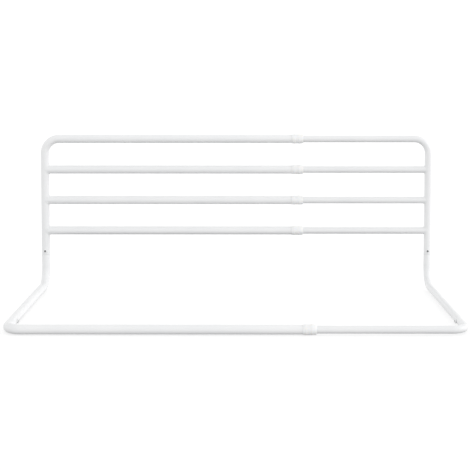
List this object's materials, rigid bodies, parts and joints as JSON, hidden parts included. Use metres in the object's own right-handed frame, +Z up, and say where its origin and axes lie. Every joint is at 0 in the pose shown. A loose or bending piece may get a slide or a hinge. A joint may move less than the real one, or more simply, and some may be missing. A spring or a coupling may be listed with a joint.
{
  "type": "bed guard rail",
  "caption": "Tubular white guard rail for the side of a bed, with a base that slides under the mattress and halves that telescope to set its width.",
  "frame": {"origin": "centre of the footprint, at the level of the lowest point", "axes": "+X along the fence from the larger tubes to the smaller ones, +Y from the base's front bar to the fence, +Z up"},
  "size_m": [1.06, 0.5502, 0.4212],
  "materials": {
    "powder_coat": "white powder coat on steel tube, fine orange peel",
    "sleeve_plastic": "white moulded plastic, satin",
    "glide_plastic": "grey moulded nylon",
    "screw_paint": "white painted steel screw",
    "zinc_steel": "zinc plated"
  },
  "bodies": {
    "left_half": {"left_post_and_top_rail": "powder_coat", "left_rail_upper": "powder_coat", "left_rail_middle": "powder_coat", "left_rail_lower": "powder_coat", "left_leg": "powder_coat", "left_base_bar": "powder_coat", "left_post_screw": "screw_paint", "left_post_nut": "zinc_steel", "left_leg_screw": "screw_paint", "left_leg_nut": "zinc_steel", "sleeve_top": "sleeve_plastic", "sleeve_upper": "sleeve_plastic", "sleeve_middle": "sleeve_plastic", "sleeve_lower": "sleeve_plastic", "sleeve_base": "sleeve_plastic"},
    "right_half": {"right_post_and_top_rail": "powder_coat", "right_rail_upper": "powder_coat", "right_rail_middle": "powder_coat", "right_rail_lower": "powder_coat", "right_leg": "powder_coat", "right_base_bar": "powder_coat", "right_post_screw": "screw_paint", "right_post_nut": "zinc_steel", "right_leg_screw": "screw_paint", "right_leg_nut": "zinc_steel", "glide_top": "glide_plastic", "glide_upper": "glide_plastic", "glide_middle": "glide_plastic", "glide_lower": "glide_plastic", "glide_base": "glide_plastic"}
  },
  "joints": [
    {"name": "width_slide", "type": "slide", "parent": "left_half", "child": "right_half", "axis": [1, 0, 0], "range_m": [-0.29, 0.305]}
  ]
}
